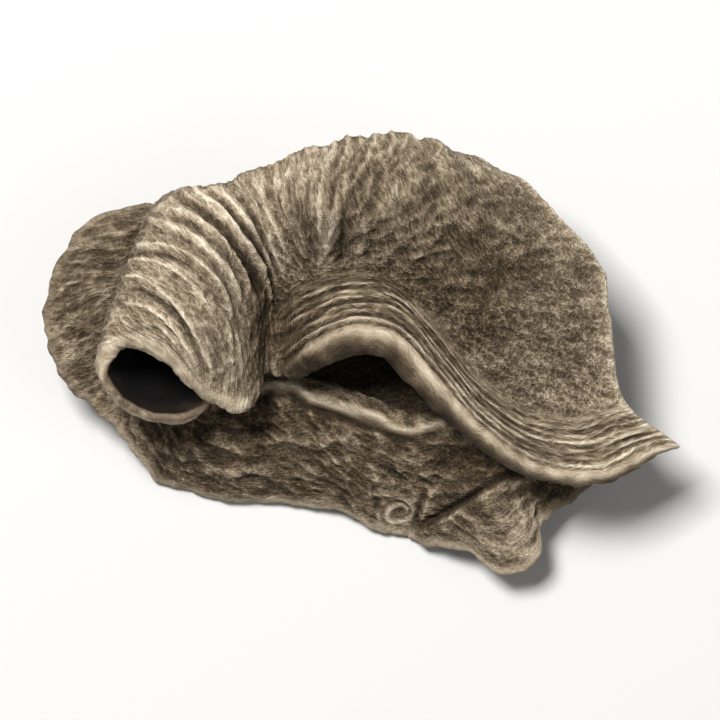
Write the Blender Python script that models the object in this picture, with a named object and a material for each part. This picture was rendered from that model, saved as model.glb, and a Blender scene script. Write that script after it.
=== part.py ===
"""A dried wood ear mushroom: one fruitbody of two thin lobes that grow from one short stub.

The upper lobe rises at the back, turns over in a rounded fold and spreads forward as a fan. Its left
side is rolled into a tube with a round mouth, and its front margin is rolled under. The lower lobe
spreads beneath it: a round ear on the left and a wrinkled flap in front. The hairy side of both faces
up. The stub was sliced flat where the fruitbody was cut from its log, and the part rests on that cut
and on the front edge of the flap. X runs along the fan, -Y is the front and +Z is up.
"""

import math

import bpy
import numpy as np

MM = 0.001

# Thickness of the dried sheet, in millimetres.
SHEET = 0.9
SHEET_AT_BASE = 1.2
SHEET_AT_MARGIN = 0.5
BASE_SHARE = 0.22  # share of a lobe's reach over which it thins from the stub

# Facets of the two lobes: across the fan of ribs, and along each rib.
UPPER_FACETS = (46, 22)
LOWER_FACETS = (42, 12)
ROLL_STEPS = 4

# Guide lines of the upper lobe, in millimetres. Each runs from the edge tucked under the tube, round
# the tube, through the valley beside it and along the fan to the fan's right-hand margin.
UPPER_BACK = [
    (-10.2, 9.2, 5.4), (-11.6, 9.6, 5.6), (-12.8, 10.3, 6.6), (-13.4, 11.0, 8.0), (-13.2, 11.5, 9.6),
    (-12.0, 11.8, 10.6), (-10.7, 12.0, 10.9), (-9.2, 12.3, 10.8), (-7.8, 12.8, 10.7), (-6.3, 13.3, 10.8),
    (-4.8, 13.8, 10.9), (-3.0, 14.3, 11.0), (-1.2, 14.6, 11.0), (0.6, 14.7, 10.9), (2.4, 14.6, 10.5),
    (4.2, 14.4, 10.0), (5.8, 14.2, 9.4), (7.2, 13.9, 8.9), (8.4, 13.6, 8.4),
]
UPPER_HORIZON = [
    (-11.6, 8.0, 6.4), (-13.4, 8.8, 6.4), (-14.9, 9.8, 7.6), (-15.9, 11.2, 9.6), (-15.4, 12.3, 11.8),
    (-13.7, 12.8, 13.2), (-12.0, 13.0, 13.6), (-10.2, 13.4, 13.4), (-8.6, 14.1, 13.2), (-6.9, 14.7, 13.4),
    (-5.2, 15.3, 13.8), (-3.2, 16.0, 14.1), (-1.0, 16.6, 14.2), (1.4, 16.9, 14.0), (3.8, 16.8, 13.6),
    (6.2, 16.2, 13.0), (8.4, 15.3, 12.4), (10.6, 14.4, 11.8), (12.8, 13.3, 11.2),
]
UPPER_CREST = [
    (-12.2, 5.8, 6.8), (-14.4, 6.6, 6.6), (-16.4, 7.4, 7.4), (-17.5, 8.6, 10.4), (-16.8, 9.2, 13.4),
    (-14.4, 9.6, 15.6), (-12.0, 9.8, 16.0), (-9.8, 10.0, 15.0), (-8.2, 10.6, 14.0), (-6.6, 11.0, 14.2),
    (-4.8, 11.6, 15.4), (-2.4, 12.0, 16.6), (0.2, 12.4, 17.2), (3.0, 12.6, 17.0), (6.0, 12.4, 16.2),
    (9.2, 11.8, 15.0), (12.2, 10.9, 13.8), (14.8, 10.2, 12.8), (17.2, 9.7, 11.6),
]
UPPER_MIDDLE = [
    (-12.0, 3.0, 6.8), (-14.6, 3.0, 6.2), (-17.2, 3.6, 6.9), (-18.9, 5.0, 10.6), (-17.7, 6.2, 14.0),
    (-14.7, 6.2, 16.2), (-11.8, 5.8, 16.2), (-9.0, 5.6, 13.8), (-7.7, 6.2, 11.8), (-6.2, 6.6, 11.2),
    (-4.4, 7.0, 11.6), (-2.0, 7.6, 12.6), (1.2, 7.6, 13.2), (4.6, 6.6, 13.6), (8.0, 5.6, 13.4),
    (11.4, 4.8, 13.0), (14.6, 4.2, 12.6), (17.2, 3.9, 12.0), (19.6, 3.6, 11.2),
]
UPPER_BAND = [
    (-11.6, -1.4, 7.4), (-14.5, -2.2, 6.6), (-17.9, -1.0, 7.2), (-19.8, 1.8, 11.0), (-18.1, 3.2, 14.2),
    (-15.0, 3.3, 15.9), (-11.7, 1.2, 15.0), (-8.9, 0.9, 12.4), (-7.8, 2.6, 10.0), (-5.9, 3.2, 10.0),
    (-3.9, 4.0, 11.6), (-1.2, 4.9, 12.6), (2.6, 4.8, 12.8), (5.6, 2.2, 12.6), (8.8, -1.2, 12.0),
    (12.4, -3.4, 11.4), (16.2, -3.9, 11.0), (19.0, -3.9, 10.7), (20.8, -3.1, 10.2),
]
UPPER_LIP = [
    (-11.6, -3.6, 9.6), (-14.8, -4.6, 10.2), (-18.2, -3.8, 10.6), (-20.3, -0.7, 12.0), (-18.7, 1.6, 13.4),
    (-15.7, 1.0, 14.7), (-12.3, -2.2, 13.0), (-9.2, -3.6, 11.2), (-7.9, -0.9, 9.3), (-5.7, -0.5, 9.5),
    (-3.7, 1.0, 12.8), (-0.6, 2.3, 14.2), (2.8, 1.7, 13.8), (5.8, -1.5, 13.0), (9.6, -5.6, 12.0),
    (14.0, -8.5, 11.0), (19.0, -9.0, 10.2), (22.6, -7.4, 9.7), (25.1, -6.8, 9.0),
]
UPPER_GUIDES = [UPPER_BACK, UPPER_HORIZON, UPPER_CREST, UPPER_MIDDLE, UPPER_BAND, UPPER_LIP]
# Radius in millimetres and turn in degrees of the roll at the end of each of these ribs.
UPPER_ROLL = [
    (0.4, 40), (0.6, 60), (0.6, 70), (0.6, 80), (0.7, 80), (0.7, 90), (0.7, 80), (0.5, 70), (0.5, 60),
    (0.8, 90), (1.05, 130), (1.1, 140), (1.15, 140), (1.25, 140), (1.0, 140), (0.8, 130), (0.7, 120),
    (0.5, 80), (0.2, 30),
]

# Guide lines of the lower lobe, from the back of the ear round its left side to the flap in front, the
# curled corner of the flap and the hidden right-hand side.
LOWER_INNER = [
    (-9.0, 11.4, 3.6), (-10.4, 10.5, 3.9), (-11.4, 9.0, 3.9), (-11.9, 7.3, 3.9), (-12.0, 5.6, 3.8),
    (-11.8, 4.1, 3.7), (-11.2, 2.9, 3.6), (-10.3, 1.9, 3.7), (-9.0, 1.1, 3.8), (-7.3, 0.6, 3.9),
    (-5.4, 0.3, 3.9), (-3.2, 0.1, 3.8), (-1.0, -0.2, 3.6), (1.2, -0.4, 3.5), (3.4, -0.4, 3.4),
    (5.4, -0.2, 3.2), (7.0, 0.2, 3.0), (8.4, 0.9, 2.9), (9.4, 2.0, 2.7), (9.6, 3.4, 2.6), (8.6, 5.2, 2.4),
    (6.6, 7.4, 2.2),
]
LOWER_RIDGE = [
    (-11.8, 12.0, 4.1), (-14.4, 10.9, 5.0), (-15.9, 8.7, 5.0), (-16.8, 6.0, 4.7), (-16.8, 3.4, 4.4),
    (-16.2, 1.0, 4.2), (-15.2, -0.8, 4.2), (-13.6, -2.2, 4.5), (-11.4, -2.9, 5.0), (-8.4, -3.0, 5.2),
    (-5.2, -3.5, 5.3), (-2.0, -4.4, 5.3), (1.0, -5.5, 5.3), (3.8, -6.3, 5.2), (6.2, -5.8, 5.0),
    (8.2, -5.0, 4.6), (10.0, -4.2, 4.2), (11.6, -3.4, 3.8), (12.8, -2.2, 3.2), (13.0, -0.2, 2.8),
    (11.4, 3.0, 2.4), (8.8, 6.4, 2.0),
]
LOWER_SLOPE = [
    (-14.0, 12.3, 4.8), (-18.4, 10.8, 6.0), (-20.4, 7.9, 6.4), (-21.3, 4.8, 6.2), (-21.0, 1.6, 5.6),
    (-19.8, -1.0, 4.8), (-18.0, -2.9, 4.2), (-15.9, -4.9, 3.9), (-13.4, -6.7, 3.8), (-9.6, -7.2, 4.0),
    (-5.4, -7.4, 4.1), (-1.8, -8.2, 3.9), (1.6, -9.4, 3.6), (4.4, -10.0, 3.2), (7.4, -10.4, 3.6),
    (10.0, -10.8, 4.6), (11.8, -10.2, 4.6), (13.0, -9.0, 3.8), (14.6, -7.4, 3.0), (16.0, -4.6, 2.4),
    (14.4, 0.6, 2.0), (10.4, 5.8, 1.6),
]
LOWER_MARGIN = [
    (-16.6, 12.3, 5.4), (-21.6, 10.6, 6.2), (-23.9, 7.5, 6.6), (-24.9, 3.8, 6.8), (-24.5, 0.4, 6.2),
    (-22.8, -2.4, 5.0), (-20.2, -4.4, 4.0), (-18.0, -7.2, 2.0), (-15.4, -9.8, 0.5), (-10.2, -11.3, 0.45),
    (-5.4, -11.3, 0.7), (-1.6, -11.9, 1.0), (1.8, -13.5, 0.45), (4.6, -13.9, 0.6), (8.2, -14.8, 2.6),
    (11.4, -17.0, 3.4), (13.9, -15.8, 3.8), (14.3, -12.8, 3.6), (16.8, -10.9, 2.4), (19.0, -8.0, 2.0),
    (17.0, -1.0, 1.6), (12.0, 5.2, 1.2),
]
LOWER_GUIDES = [LOWER_INNER, LOWER_RIDGE, LOWER_SLOPE, LOWER_MARGIN]
LOWER_ROLL = [(0.4, 40)] * len(LOWER_MARGIN)

# Where each lobe leaves the stub, in millimetres and degrees: an arc of an ellipse seen from above, as
# (centre, half width, half depth, height, angle of the first rib, angle of the last).
UPPER_ROOT = ((-2.2, 10.9), 5.6, 1.6, 5.6, 180, 0)
LOWER_ROOT = ((-2.2, 9.2), 4.6, 1.9, 3.0, 140, 380)

# The stub, in millimetres: ellipses stacked up from the flat cut, as (z, centre, half width, half depth).
STUB_RINGS = [
    (0.0, (-2.4, 10.0), 5.7, 2.7),
    (0.4, (-2.4, 10.0), 6.0, 3.0),
    (2.2, (-2.3, 10.0), 5.9, 2.9),
    (4.0, (-2.3, 10.6), 6.2, 2.6),
    (5.8, (-2.2, 11.3), 6.4, 2.0),
    (7.4, (-2.2, 11.7), 5.4, 0.8),
]
# Waves in the stub's outline, as (waves round it, share of the radius, phase in radians).
STUB_WAVES = [(3, 0.05, 0.6), (5, 0.04, 2.2), (8, 0.02, 4.0)]
STUB_SIDES = 40


def clear_scene():
    """Removes what the scene holds."""
    for item in list(bpy.data.objects):
        bpy.data.objects.remove(item, do_unlink=True)


def through(points, samples):
    """Points at the given positions along a smooth curve through rows of points, one row a unit apart."""
    points = np.asarray(points, float)
    before = 2 * points[0] - points[1]
    after = 2 * points[-1] - points[-2]
    padded = np.concatenate([before[None], points, after[None]])
    span = np.clip(np.floor(samples).astype(int), 0, len(points) - 2)
    t = (samples - span).reshape((-1,) + (1,) * (points.ndim - 1))
    a, b, c, d = (padded[span + k] for k in range(4))
    curve = (2 * b) + (c - a) * t
    curve = curve + (2 * a - 5 * b + 4 * c - d) * t**2
    curve = curve + (3 * b - a - 3 * c + d) * t**3
    return curve / 2


def even_samples(points, count):
    """Sample positions along a row of points that lie at even distances on its curve."""
    fine = np.linspace(0, len(points) - 1, 40 * len(points))
    steps = np.linalg.norm(np.diff(through(points, fine), axis=0), axis=1)
    run = np.concatenate([[0], np.cumsum(steps)])
    return np.interp(np.linspace(0, run[-1], count), run, fine)


def normals_of(surface):
    """Unit normals of a grid of points."""
    across = np.gradient(surface, axis=1)
    along = np.gradient(surface, axis=0)
    normal = np.cross(along, across)
    return normal / np.linalg.norm(normal, axis=2, keepdims=True)


def rolled(surface, roll, samples):
    """The surface with its margin carried on round a small roll, towards its underside."""
    radius, turn = through(roll, samples).T
    radius = np.maximum(radius, 0.1)[:, None] * np.ones(3)
    turn = np.radians(np.maximum(turn, 0))[:, None]
    end = surface[-1]
    ahead = end - surface[-2]
    ahead = ahead / np.linalg.norm(ahead, axis=1, keepdims=True)
    up = normals_of(surface)[-1]
    rows = []
    for step in range(1, ROLL_STEPS + 1):
        angle = turn * step / ROLL_STEPS
        rows.append(end + radius * (np.sin(angle) * ahead - (1 - np.cos(angle)) * up))
    return np.concatenate([surface, np.array(rows)])


def root_line(root, count):
    """The points where a lobe's ribs leave the stub."""
    centre, half_width, half_depth, height, first, last = root
    angle = np.radians(np.linspace(first, last, count))
    x = centre[0] + half_width * np.cos(angle)
    y = centre[1] + half_depth * np.sin(angle)
    return np.stack([x, y, np.full(count, height)], axis=1)


def lobe_surface(root, guides, roll, facets):
    """The middle surface of a lobe: rows from the stub to the margin, points across the ribs."""
    across, along = facets
    guides = np.array([root_line(root, len(roll)), *guides])
    samples = even_samples(guides[-2], across + 1)
    rows = through(guides, np.linspace(0, len(guides) - 1, along + 1))
    surface = through(rows.transpose(1, 0, 2), samples).transpose(1, 0, 2)
    return rolled(surface, roll, samples)


def sheet_thickness(rows, columns):
    """Thickness over a lobe: stout at the stub, even over the sheet and thin at its free edges."""
    reach = np.linspace(0, 1, rows)[:, None] * np.ones((1, columns))
    stout = np.clip(1 - reach / BASE_SHARE, 0, 1) ** 2
    thickness = SHEET + (SHEET_AT_BASE - SHEET) * stout
    thickness[-1 - ROLL_STEPS:] = np.linspace(SHEET, SHEET_AT_MARGIN, ROLL_STEPS + 1)[:, None]
    thickness[:, 0] = np.minimum(thickness[:, 0], SHEET_AT_MARGIN)
    thickness[:, -1] = np.minimum(thickness[:, -1], SHEET_AT_MARGIN)
    return thickness[..., None]


def closed_sheet(surface):
    """Points and faces of the closed solid round a lobe's middle surface."""
    rows, columns = surface.shape[:2]
    normal = normals_of(surface)
    half = sheet_thickness(rows, columns) / 2
    points = np.concatenate([(surface + normal * half).reshape(-1, 3), (surface - normal * half).reshape(-1, 3)])
    points[:, 2] = np.maximum(points[:, 2], 0)
    under = rows * columns
    faces = []
    for row in range(rows - 1):
        for column in range(columns - 1):
            a = row * columns + column
            b, c, d = a + 1, a + columns + 1, a + columns
            faces.append((a, d, c, b))
            faces.append((a + under, b + under, c + under, d + under))
    last = (rows - 1) * columns
    for column in range(columns - 1):
        faces.append((column, column + 1, column + 1 + under, column + under))
        a, b = last + column, last + column + 1
        faces.append((b, a, a + under, b + under))
    for row in range(rows - 1):
        a, b = row * columns, (row + 1) * columns
        faces.append((b, a, a + under, b + under))
        a, b = a + columns - 1, b + columns - 1
        faces.append((a, b, b + under, a + under))
    return points, faces


def mesh_object(name, points, faces, material):
    """An object made of these points, in millimetres, and faces."""
    mesh = bpy.data.meshes.new(name)
    mesh.from_pydata((np.asarray(points) * MM).tolist(), [], faces)
    mesh.materials.append(material)
    mesh.shade_smooth()
    item = bpy.data.objects.new(name, mesh)
    bpy.context.scene.collection.objects.link(item)
    return item


def middle_of(*shapes):
    """The middle, seen from above, of the box round these points."""
    points = np.concatenate(shapes)
    middle = (points.min(axis=0) + points.max(axis=0)) / 2
    return np.array([middle[0], middle[1], 0])


def stub_solid():
    """Points and faces of the stub: a flat cut below, tapering up into the lobes."""
    points = []
    turns = [2 * math.pi * side / STUB_SIDES for side in range(STUB_SIDES)]
    for height, centre, half_width, half_depth in STUB_RINGS:
        for turn in turns:
            swell = 1 + sum(share * math.cos(waves * turn + phase) for waves, share, phase in STUB_WAVES)
            x = centre[0] + half_width * swell * math.cos(turn)
            y = centre[1] + half_depth * swell * math.sin(turn)
            points.append((x, y, height))
    faces = [tuple(range(STUB_SIDES))[::-1]]
    for ring in range(len(STUB_RINGS) - 1):
        low = ring * STUB_SIDES
        for side in range(STUB_SIDES):
            a, b = low + side, low + (side + 1) % STUB_SIDES
            faces.append((a, b, b + STUB_SIDES, a + STUB_SIDES))
    top = (len(STUB_RINGS) - 1) * STUB_SIDES
    faces.append(tuple(range(top, top + STUB_SIDES)))
    return np.array(points), faces


def dried_flesh():
    """Greyish tan, rough and fibrous."""
    material = bpy.data.materials.new("dried_flesh")
    material.use_nodes = True
    shader = material.node_tree.nodes["Principled BSDF"]
    shader.inputs["Base Color"].default_value = (0.22, 0.17, 0.115, 1)
    shader.inputs["Roughness"].default_value = 0.85
    shader.inputs["Metallic"].default_value = 0
    return material


def grow_together(body, other):
    """Joins another closed solid to the body."""
    other.hide_render = True
    other.display_type = "WIRE"
    union = body.modifiers.new("with " + other.name, "BOOLEAN")
    union.operation = "UNION"
    union.solver = "EXACT"
    union.object = other


def main():
    clear_scene()
    flesh = dried_flesh()
    upper, upper_faces = closed_sheet(lobe_surface(UPPER_ROOT, UPPER_GUIDES, UPPER_ROLL, UPPER_FACETS))
    lower, lower_faces = closed_sheet(lobe_surface(LOWER_ROOT, LOWER_GUIDES, LOWER_ROLL, LOWER_FACETS))
    stub, stub_faces = stub_solid()
    middle = middle_of(upper, lower)
    body = mesh_object("wood_ear", upper - middle, upper_faces, flesh)
    grow_together(body, mesh_object("lower_lobe", lower - middle, lower_faces, flesh))
    grow_together(body, mesh_object("stub", stub - middle, stub_faces, flesh))


main()
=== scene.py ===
"""The looks of a dried wood ear mushroom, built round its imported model.

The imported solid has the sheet's folds. Here the same ribs are drawn finely, with the pleats, growth ridges
and hair-like wrinkles of the dried hairy side, and the smooth dark underside, as one closed mesh.
"""

import math

import bpy
import numpy as np
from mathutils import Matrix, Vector, noise


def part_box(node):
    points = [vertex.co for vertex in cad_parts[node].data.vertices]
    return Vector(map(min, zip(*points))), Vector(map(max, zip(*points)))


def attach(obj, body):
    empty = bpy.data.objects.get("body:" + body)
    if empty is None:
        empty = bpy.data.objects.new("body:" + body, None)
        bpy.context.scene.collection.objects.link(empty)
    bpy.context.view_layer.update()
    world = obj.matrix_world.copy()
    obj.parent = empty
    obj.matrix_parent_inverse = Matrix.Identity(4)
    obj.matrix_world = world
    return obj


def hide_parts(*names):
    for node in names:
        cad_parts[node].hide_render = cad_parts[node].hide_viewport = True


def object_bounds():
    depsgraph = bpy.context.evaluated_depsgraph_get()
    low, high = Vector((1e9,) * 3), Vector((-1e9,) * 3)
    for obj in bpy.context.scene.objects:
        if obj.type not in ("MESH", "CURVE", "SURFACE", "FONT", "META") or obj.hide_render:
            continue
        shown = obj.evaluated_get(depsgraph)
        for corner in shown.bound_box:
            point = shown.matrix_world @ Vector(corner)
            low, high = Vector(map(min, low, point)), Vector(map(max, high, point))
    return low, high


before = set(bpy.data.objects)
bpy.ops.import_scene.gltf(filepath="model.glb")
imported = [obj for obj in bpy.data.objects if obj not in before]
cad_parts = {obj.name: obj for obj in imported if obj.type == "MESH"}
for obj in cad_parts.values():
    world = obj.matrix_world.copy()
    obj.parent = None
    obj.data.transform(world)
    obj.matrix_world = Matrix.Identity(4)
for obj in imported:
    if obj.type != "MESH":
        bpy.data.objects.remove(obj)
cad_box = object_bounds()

MM = 0.001
NODE = "wood_ear"

# Thickness of the dried sheet, in millimetres.
SHEET = 0.85
SHEET_AT_BASE = 2.4
SHEET_AT_MARGIN = 0.08
ROUNDING = 0.45  # how far from its edge the sheet's margin starts to round off
BASE_SHARE = 0.22  # share of a lobe's reach over which it thins from the stub

# Rows of the fine grid between one guide line and the next, then round the rolled margin.
UPPER_ROWS = (10, 12, 28, 32, 34, 36)
LOWER_ROWS = (6, 12, 26, 22)
UPPER_ROLL_ROWS = 18
LOWER_ROLL_ROWS = 8
UPPER_COLUMNS = 290
LOWER_COLUMNS = 330
# How closely the columns stand along each lobe, as (rib number, share): fewer where nothing is seen.
UPPER_CLOSENESS = [(0, 0.4), (2, 0.5), (3.5, 1.0), (18, 1.0)]
LOWER_CLOSENESS = [(0, 0.5), (2, 0.8), (6, 1.0), (17.5, 1.0), (19, 0.4), (21, 0.4)]

# Guide lines of the upper lobe, in millimetres. Each runs from the edge tucked under the tube, round
# the tube, through the valley beside it and along the fan to the fan's right-hand margin.
UPPER_BACK = [
    (-10.2, 9.2, 5.4), (-11.6, 9.6, 5.6), (-12.8, 10.3, 6.6), (-13.4, 11.0, 8.0), (-13.2, 11.5, 9.6),
    (-12.0, 11.8, 10.6), (-10.7, 12.0, 10.9), (-9.2, 12.3, 10.8), (-7.8, 12.8, 10.7), (-6.3, 13.3, 10.8),
    (-4.8, 13.8, 10.9), (-3.0, 14.3, 11.0), (-1.2, 14.6, 11.0), (0.6, 14.7, 10.9), (2.4, 14.6, 10.5),
    (4.2, 14.4, 10.0), (5.8, 14.2, 9.4), (7.2, 13.9, 8.9), (8.4, 13.6, 8.4),
]
UPPER_HORIZON = [
    (-11.6, 8.0, 6.4), (-13.4, 8.8, 6.4), (-14.9, 9.8, 7.6), (-15.9, 11.2, 9.6), (-15.4, 12.3, 11.8),
    (-13.7, 12.8, 13.2), (-12.0, 13.0, 13.6), (-10.2, 13.4, 13.4), (-8.6, 14.1, 13.2), (-6.9, 14.7, 13.4),
    (-5.2, 15.3, 13.8), (-3.2, 16.0, 14.1), (-1.0, 16.6, 14.2), (1.4, 16.9, 14.0), (3.8, 16.8, 13.6),
    (6.2, 16.2, 13.0), (8.4, 15.3, 12.4), (10.6, 14.4, 11.8), (12.8, 13.3, 11.2),
]
UPPER_CREST = [
    (-12.2, 5.8, 6.8), (-14.4, 6.6, 6.6), (-16.4, 7.4, 7.4), (-17.5, 8.6, 10.4), (-16.8, 9.2, 13.4),
    (-14.4, 9.6, 15.6), (-12.0, 9.8, 16.0), (-9.8, 10.0, 15.0), (-8.2, 10.6, 14.0), (-6.6, 11.0, 14.2),
    (-4.8, 11.6, 15.4), (-2.4, 12.0, 16.6), (0.2, 12.4, 17.2), (3.0, 12.6, 17.0), (6.0, 12.4, 16.2),
    (9.2, 11.8, 15.0), (12.2, 10.9, 13.8), (14.8, 10.2, 12.8), (17.2, 9.7, 11.6),
]
UPPER_MIDDLE = [
    (-12.0, 3.0, 6.8), (-14.6, 3.0, 6.2), (-17.2, 3.6, 6.9), (-18.9, 5.0, 10.6), (-17.7, 6.2, 14.0),
    (-14.7, 6.2, 16.2), (-11.8, 5.8, 16.2), (-9.0, 5.6, 13.8), (-7.7, 6.2, 11.8), (-6.2, 6.6, 11.2),
    (-4.4, 7.0, 11.6), (-2.0, 7.6, 12.6), (1.2, 7.6, 13.2), (4.6, 6.6, 13.6), (8.0, 5.6, 13.4),
    (11.4, 4.8, 13.0), (14.6, 4.2, 12.6), (17.2, 3.9, 12.0), (19.6, 3.6, 11.2),
]
UPPER_BAND = [
    (-11.6, -1.4, 7.4), (-14.5, -2.2, 6.6), (-17.9, -1.0, 7.2), (-19.8, 1.8, 11.0), (-18.1, 3.2, 14.2),
    (-15.0, 3.3, 15.9), (-11.7, 1.2, 15.0), (-8.9, 0.9, 12.4), (-7.8, 2.6, 10.0), (-5.9, 3.2, 10.0),
    (-3.9, 4.0, 11.6), (-1.2, 4.9, 12.6), (2.6, 4.8, 12.8), (5.6, 2.2, 12.6), (8.8, -1.2, 12.0),
    (12.4, -3.4, 11.4), (16.2, -3.9, 11.0), (19.0, -3.9, 10.7), (20.8, -3.1, 10.2),
]
UPPER_LIP = [
    (-11.6, -3.6, 9.6), (-14.8, -4.6, 10.2), (-18.2, -3.8, 10.6), (-20.3, -0.7, 12.0), (-18.7, 1.6, 13.4),
    (-15.7, 1.0, 14.7), (-12.3, -2.2, 13.0), (-9.2, -3.6, 11.2), (-7.9, -0.9, 9.3), (-5.7, -0.5, 9.5),
    (-3.7, 1.0, 12.8), (-0.6, 2.3, 14.2), (2.8, 1.7, 13.8), (5.8, -1.5, 13.0), (9.6, -5.6, 12.0),
    (14.0, -8.5, 11.0), (19.0, -9.0, 10.2), (22.6, -7.4, 9.7), (25.1, -6.8, 9.0),
]
UPPER_GUIDES = [UPPER_BACK, UPPER_HORIZON, UPPER_CREST, UPPER_MIDDLE, UPPER_BAND, UPPER_LIP]
# Radius in millimetres and turn in degrees of the roll at the end of each of these ribs.
UPPER_ROLL = [
    (0.4, 40), (0.6, 60), (0.6, 70), (0.6, 80), (0.7, 80), (0.7, 90), (0.7, 80), (0.5, 70), (0.5, 60),
    (0.8, 90), (1.05, 130), (1.1, 140), (1.15, 140), (1.25, 140), (1.0, 140), (0.8, 130), (0.7, 120),
    (0.5, 80), (0.2, 30),
]

# Guide lines of the lower lobe, from the back of the ear round its left side to the flap in front, the
# curled corner of the flap and the hidden right-hand side.
LOWER_INNER = [
    (-9.0, 11.4, 3.6), (-10.4, 10.5, 3.9), (-11.4, 9.0, 3.9), (-11.9, 7.3, 3.9), (-12.0, 5.6, 3.8),
    (-11.8, 4.1, 3.7), (-11.2, 2.9, 3.6), (-10.3, 1.9, 3.7), (-9.0, 1.1, 3.8), (-7.3, 0.6, 3.9),
    (-5.4, 0.3, 3.9), (-3.2, 0.1, 3.8), (-1.0, -0.2, 3.6), (1.2, -0.4, 3.5), (3.4, -0.4, 3.4),
    (5.4, -0.2, 3.2), (7.0, 0.2, 3.0), (8.4, 0.9, 2.9), (9.4, 2.0, 2.7), (9.6, 3.4, 2.6), (8.6, 5.2, 2.4),
    (6.6, 7.4, 2.2),
]
LOWER_RIDGE = [
    (-11.8, 12.0, 4.1), (-14.4, 10.9, 5.0), (-15.9, 8.7, 5.0), (-16.8, 6.0, 4.7), (-16.8, 3.4, 4.4),
    (-16.2, 1.0, 4.2), (-15.2, -0.8, 4.2), (-13.6, -2.2, 4.5), (-11.4, -2.9, 5.0), (-8.4, -3.0, 5.2),
    (-5.2, -3.5, 5.3), (-2.0, -4.4, 5.3), (1.0, -5.5, 5.3), (3.8, -6.3, 5.2), (6.2, -5.8, 5.0),
    (8.2, -5.0, 4.6), (10.0, -4.2, 4.2), (11.6, -3.4, 3.8), (12.8, -2.2, 3.2), (13.0, -0.2, 2.8),
    (11.4, 3.0, 2.4), (8.8, 6.4, 2.0),
]
LOWER_SLOPE = [
    (-14.0, 12.3, 4.8), (-18.4, 10.8, 6.0), (-20.4, 7.9, 6.4), (-21.3, 4.8, 6.2), (-21.0, 1.6, 5.6),
    (-19.8, -1.0, 4.8), (-18.0, -2.9, 4.2), (-15.9, -4.9, 3.9), (-13.4, -6.7, 3.8), (-9.6, -7.2, 4.0),
    (-5.4, -7.4, 4.1), (-1.8, -8.2, 3.9), (1.6, -9.4, 3.6), (4.4, -10.0, 3.2), (7.4, -10.4, 3.6),
    (10.0, -10.8, 4.6), (11.8, -10.2, 4.6), (13.0, -9.0, 3.8), (14.6, -7.4, 3.0), (16.0, -4.6, 2.4),
    (14.4, 0.6, 2.0), (10.4, 5.8, 1.6),
]
LOWER_MARGIN = [
    (-16.6, 12.3, 5.4), (-21.6, 10.6, 6.2), (-23.9, 7.5, 6.6), (-24.9, 3.8, 6.8), (-24.5, 0.4, 6.2),
    (-22.8, -2.4, 5.0), (-20.2, -4.4, 4.0), (-18.0, -7.2, 2.0), (-15.4, -9.8, 0.5), (-10.2, -11.3, 0.45),
    (-5.4, -11.3, 0.7), (-1.6, -11.9, 1.0), (1.8, -13.5, 0.45), (4.6, -13.9, 0.6), (8.2, -14.8, 2.6),
    (11.4, -17.0, 3.4), (13.9, -15.8, 3.8), (14.3, -12.8, 3.6), (16.8, -10.9, 2.4), (19.0, -8.0, 2.0),
    (17.0, -1.0, 1.6), (12.0, 5.2, 1.2),
]
LOWER_GUIDES = [LOWER_INNER, LOWER_RIDGE, LOWER_SLOPE, LOWER_MARGIN]
LOWER_ROLL = [(0.4, 40)] * len(LOWER_MARGIN)

# Where each lobe leaves the stub, in millimetres and degrees: an arc of an ellipse seen from above, as
# (centre, half width, half depth, height, angle of the first rib, angle of the last).
UPPER_ROOT = ((-2.2, 10.9), 5.6, 1.6, 5.6, 180, 0)
LOWER_ROOT = ((-2.2, 9.2), 4.6, 1.9, 3.0, 140, 380)

# The stub, in millimetres: ellipses stacked up from the flat cut, as (z, centre, half width, half depth).
STUB_RINGS = [
    (0.0, (-2.4, 10.0), 5.7, 2.7),
    (0.4, (-2.4, 10.0), 6.0, 3.0),
    (2.2, (-2.3, 10.0), 5.9, 2.9),
    (4.0, (-2.3, 10.6), 6.2, 2.6),
    (5.8, (-2.2, 11.3), 6.4, 2.0),
    (7.4, (-2.2, 11.7), 5.4, 0.8),
]
# Waves in the stub's outline, as (waves round it, share of the radius, phase in radians).
STUB_WAVES = [(3, 0.05, 0.6), (5, 0.04, 2.2), (8, 0.02, 4.0)]
STUB_SIDES = 96
STUB_STEPS = 6  # rings between one of the stub's ellipses and the next
# Where the creases round the stub's top are softened: (centre, half width, half depth) of an ellipse. Then
# how many times over, and the relief of the smooth strip that turns hairy there.
BASE_ELLIPSE = ((-2.3, 10.6), 6.6, 3.4)
BASE_PASSES = 260
BASE_RELIEF = 0.35

# Landmarks of the upper lobe seen from above: the middle of the tube's mouth, the hollow from which the fan's
# wrinkles spread, and the pale knob at the front of the tube. Then how far the pleats lean.
MOUTH = (-16.8, -1.9)
PINCH = (-3.8, 5.4)
KNOB = (-9.5, -3.6)
PLEAT_LEAN = 0.7


# Numbers

def smooth(value, low, high):
    """0 below low, 1 above high and a smooth step between them."""
    t = np.clip((value - low) / (high - low), 0, 1)
    return t * t * (3 - 2 * t)


def bump(value, middle, width):
    """1 at the middle, falling off on both sides."""
    return np.exp(-(((value - middle) / width) ** 2))


def through(points, samples):
    """Points at the given positions along a smooth curve through rows of points, one row a unit apart."""
    points = np.asarray(points, float)
    before = 2 * points[0] - points[1]
    after = 2 * points[-1] - points[-2]
    padded = np.concatenate([before[None], points, after[None]])
    span = np.clip(np.floor(samples).astype(int), 0, len(points) - 2)
    t = (samples - span).reshape((-1,) + (1,) * (points.ndim - 1))
    a, b, c, d = (padded[span + k] for k in range(4))
    curve = (2 * b) + (c - a) * t
    curve = curve + (2 * a - 5 * b + 4 * c - d) * t**2
    curve = curve + (3 * b - a - 3 * c + d) * t**3
    return curve / 2


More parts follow.
